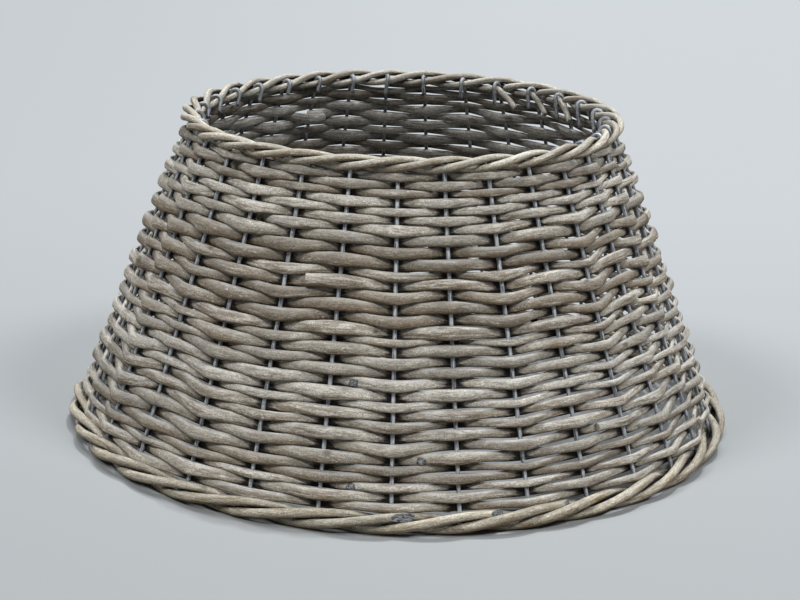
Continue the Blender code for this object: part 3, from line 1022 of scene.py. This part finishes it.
def washed_bark(finish, bark, patches, streaks, fibres):
    """Brown and grey bark under a pale wash, with flecks and with light and dark fibres."""
    light, warm, washed = finish.parts(finish.attribute("tint", "Vector"))
    warmth = finish.plus(patches, finish.fit(warm, TINT_TO_WARMTH))
    ground = finish.blend(finish.fit(warmth, WARM_PATCHES), bark.middle, bark.brown)
    wash = finish.plus(streaks, finish.fit(washed, TINT_TO_WASH))
    ground = finish.blend(finish.fit(wash, WASHED_STREAKS), ground, bark.pale)
    flecks = finish.fit(finish.noise(FLECKS), FLECK_EDGE)
    fleck_places = finish.fit(finish.noise(FLECK_PLACES), FLECK_PLACE_EDGE)
    ground = finish.blend(finish.times(flecks, fleck_places), ground, FLECK_COLOUR)
    lengths = finish.fit(finish.noise(LENGTHS), LENGTHS_TO_LIGHT)
    shade = finish.times(finish.fit(light, TINT_TO_LIGHT), lengths)
    shade = finish.times(shade, finish.fit(fibres, FIBRES_TO_LIGHT))
    shade = finish.times(shade, finish.fit(finish.noise(SPECKS), SPECKS_TO_LIGHT))
    return finish.shaded(ground, shade)


def dust_top_light_and_shade(finish, bark, ground, patches):
    """The bark with dust and a painted top light where it faces up, a brown painted shade where it
    faces down, and a grey painted shade on the inner side.
    """
    upwards = finish.parts(finish.node("ShaderNodeNewGeometry").outputs["Normal"])[2]
    dust = finish.times(finish.fit(patches, DUST_AND_TOP_LIGHT_PATCHES), bark.dust)
    ground = finish.blend(finish.times(finish.fit(upwards, FACING_UP), dust), ground, DUST_AND_TOP_LIGHT_COLOUR)
    inner = finish.fit(finish.attribute("inner"), FACING_IN)
    less_inside = finish.fit(inner, LESS_SHADE_BENEATH_INSIDE)
    # Painted shade where the bark faces down, less on the inner side
    shade_beneath = finish.times(finish.fit(upwards, FACING_DOWN), less_inside)
    ground = finish.tinted(shade_beneath, ground, BENEATH_SHADE_TINT)
    # Painted shade on the inner side of the wall
    return finish.tinted(inner, ground, INNER_SHADE_TINT)


def paint_crease_shade(finish, ground, streaks):
    """The bark darkened by painted shade in the creases, with an edge made ragged by the streaks."""
    shade_free = finish.plus(finish.attribute("open"), finish.fit(streaks, STREAKS_TO_SHADE_EDGE))
    crease_shade = finish.blend(CREASE_SHADE_SHARE, ground, CREASE_SHADE_COLOUR)
    return finish.blend(finish.fit(shade_free, WHOLE), crease_shade, ground)


def cut_and_scarred(finish, bark, ground):
    """The bark with dark buds, cut ends and, where side shoots were, round scars with a rim."""
    bud = finish.fit(finish.attribute("knotted"), BUD_DARKNESS)
    ground = finish.blend(bud, ground, BUD_COLOUR)
    pith = finish.fit(finish.noise(PITH), PITH_EDGE)
    cut = finish.fit(finish.attribute("cut"), CUT_EDGE)
    ground = finish.blend(cut, ground, finish.blend(pith, bark.cut_dark, bark.cut_pale))
    apart = finish.node("ShaderNodeVectorMath", operation="LENGTH")
    finish.put(finish.attribute("from_scar", "Vector"), apart.inputs[0])
    ragged = finish.fit(finish.noise(RAGGEDNESS), RAGGED_EDGE)
    from_scar = finish.plus(apart.outputs["Value"], ragged)
    ground = finish.blend(finish.fit(from_scar, SCAR_RIM), ground, SCAR_RIM_COLOUR)
    face = finish.blend(pith, SCAR_DARK, SCAR_PALE)
    return finish.blend(finish.fit(from_scar, SCAR_FACE), ground, face)


def weathered_willow(name, bark):
    """Grey-washed willow in its bark."""
    finish = StickFinish(name)
    fibres, patches, streaks = map(finish.noise, (FIBRES, PATCHES, STREAKS))
    ground = washed_bark(finish, bark, patches, streaks, fibres)
    ground = dust_top_light_and_shade(finish, bark, ground, patches)
    ground = paint_crease_shade(finish, ground, streaks)
    finish.paint("Base Color", cut_and_scarred(finish, bark, ground))
    finish.paint("Roughness", finish.fit(fibres, WILLOW_ROUGHNESS))
    finish.paint("Specular IOR Level", WILLOW_GLOSS)
    relief = finish.plus(finish.times(fibres, FIBRE_RELIEF), finish.times(streaks, STREAK_RELIEF))
    finish.raised(relief, WILLOW_RELIEF_STRENGTH, WILLOW_RELIEF_DEPTH)
    return finish.material


def galvanised_steel(name):
    """Dull zinc-coated wire: grey, with darker drawn streaks, pale dusty places and a painted shade
    on the hooks.
    """
    finish = StickFinish(name)
    drawn, spots = finish.noise(DRAWN_STREAKS), finish.noise(ZINC_SPOTS)
    ground = finish.blend(finish.fit(drawn, DRAWN_EDGE), STEEL_DARK, STEEL_PALE)
    ground = finish.blend(finish.fit(spots, DUSTY_SPOTS), ground, STEEL_DUST)
    # Painted shade: the hooks darker than the uprights
    ground = finish.tinted(finish.fit(finish.attribute("inner"), WHOLE), ground, HOOK_SHADE_TINT)
    ground = finish.blend(finish.fit(finish.attribute("cut"), CUT_EDGE), ground, STEEL_CUT)
    finish.paint("Base Color", ground)
    finish.paint("Roughness", finish.fit(spots, STEEL_ROUGHNESS))
    finish.paint("Metallic", STEEL_METALLIC)
    finish.raised(spots, STEEL_RELIEF_STRENGTH, STEEL_RELIEF_DEPTH)
    return finish.material


# The floor, with a painted pool of light that grows lighter to the back and to the right
FLOOR_REACH = 4.0
FLOOR_COLOUR = colour(0.367, 0.385, 0.399)
FLOOR_PAINTED_LIGHT_TO_BACK = Fit(-0.7, 0.9, 0.72, 0.91)
FLOOR_PAINTED_LIGHT_TO_RIGHT = Fit(-0.9, 0.3, 0.88, 1.0)
FLOOR_ROUGHNESS = 0.85


def add_floor():
    """A wide pale floor with a painted pool of light, which also fills the view behind the collar."""
    mesh = bpy.data.meshes.new("floor")
    sides = (-1, -1), (1, -1), (1, 1), (-1, 1)
    corners = [(x * FLOOR_REACH, y * FLOOR_REACH, 0) for x, y in sides]
    mesh.from_pydata(corners, [], [(0, 1, 2, 3)])
    finish = Finish("pale_floor")
    place = finish.parts(finish.node("ShaderNodeTexCoord").outputs["Object"])
    # Painted light, brighter to the back and to the right
    painted_light_back, to_right = finish.fit(place[1], FLOOR_PAINTED_LIGHT_TO_BACK), finish.fit(place[0], FLOOR_PAINTED_LIGHT_TO_RIGHT)
    finish.paint("Base Color", finish.shaded(FLOOR_COLOUR, finish.times(painted_light_back, to_right)))
    finish.paint("Roughness", FLOOR_ROUGHNESS)
    mesh.materials.append(finish.material)
    floor = bpy.data.objects.new("floor", mesh)
    bpy.context.scene.collection.objects.link(floor)


# Lamps far off: azimuth, elevation and breadth are in degrees
Lamp = namedtuple("Lamp", "name azimuth elevation breadth power tone")
LAMPS = (
    Lamp("key", 2, 52, 5, 0.93, (1.0, 0.98, 0.95)),
    Lamp("left", -66, 50, 16, 1.38, (0.985, 0.985, 0.975)),
    Lamp("right", 64, 50, 16, 1.46, (0.99, 0.985, 0.97)),
    Lamp("back", 156, 67.5, 2, 1.9, (0.95, 0.98, 1.0)),
    Lamp("side", -145, 68, 3, 0.35, (0.95, 0.98, 1.0)),
    Lamp("rim", -170, 77, 8, 0.75, (0.94, 0.975, 1.0)),
)

# Faint light from all round, and the backdrop
AROUND_COLOUR = colour(0.90, 0.96, 1.0)
AROUND_STRENGTH = 0.018
BACKDROP_COLOUR = colour(0.60, 0.65, 0.68)


def light_the_room():
    """Soft lamps that light the whole floor evenly."""
    for lamp in LAMPS:
        light = bpy.data.lights.new(lamp.name, "SUN")
        light.angle = radians(lamp.breadth)
        light.energy = lamp.power
        light.color = lamp.tone
        holder = bpy.data.objects.new(lamp.name, light)
        holder.rotation_euler = (pi / 2 - radians(lamp.elevation), 0.0, radians(lamp.azimuth))
        bpy.context.scene.collection.objects.link(holder)


def add_backdrop():
    """A pale backdrop that the camera and the wires' gloss see, over a faint light all round."""
    world = bpy.data.worlds.new("studio")
    world.use_nodes = True
    tree = world.node_tree
    around = tree.nodes["Background"]
    around.inputs["Color"].default_value = AROUND_COLOUR
    around.inputs["Strength"].default_value = AROUND_STRENGTH
    backdrop = tree.nodes.new("ShaderNodeBackground")
    backdrop.inputs["Color"].default_value = BACKDROP_COLOUR
    ray = tree.nodes.new("ShaderNodeLightPath").outputs
    seen = ray["Is Camera Ray"]
    for name in ("Is Glossy Ray", "Is Transmission Ray"):
        either = tree.nodes.new("ShaderNodeMath")
        either.operation = "MAXIMUM"
        tree.links.new(seen, either.inputs[0])
        tree.links.new(ray[name], either.inputs[1])
        seen = either.outputs[0]
    choice = tree.nodes.new("ShaderNodeMixShader")
    tree.links.new(seen, choice.inputs[0])
    tree.links.new(around.outputs[0], choice.inputs[1])
    tree.links.new(backdrop.outputs[0], choice.inputs[2])
    tree.links.new(choice.outputs[0], tree.nodes["World Output"].inputs["Surface"])
    bpy.context.scene.world = world


# The camera as the photograph was taken: its focal length is in pixels of an image 800 wide
IMAGE_WIDTH = 800
FOCAL_PIXELS = 2000
SENSOR_WIDTH = 36.0
CAMERA_PLACE = (0.0, -1.658, 0.6065)
CAMERA_PITCH = radians(17.0)
CAMERA_ROLL = radians(1.45)


def add_camera():
    data = bpy.data.cameras.new("camera")
    data.sensor_width = SENSOR_WIDTH
    data.lens = SENSOR_WIDTH * FOCAL_PIXELS / IMAGE_WIDTH
    camera = bpy.data.objects.new("camera", data)
    camera.location = CAMERA_PLACE
    level = Matrix.Rotation(pi / 2 - CAMERA_PITCH, 4, "X")
    camera.rotation_euler = (level @ Matrix.Rotation(CAMERA_ROLL, 4, "Z")).to_euler("XYZ")
    bpy.context.scene.collection.objects.link(camera)
    bpy.context.scene.camera = camera


def set_the_scene():
    bpy.context.scene.view_settings.view_transform = "Standard"
    weave = Weave()
    add_rods(weave, weathered_willow("wall_willow", WALL_BARK))
    top_willow = weathered_willow("top_willow", TOP_BARK)
    bottom_willow = weathered_willow("bottom_willow", BOTTOM_BARK)
    add_strands(top_willow, bottom_willow)
    add_wires(galvanised_steel("galvanised_wire"))
    add_floor()
    add_backdrop()
    light_the_room()
    add_camera()


set_the_scene()
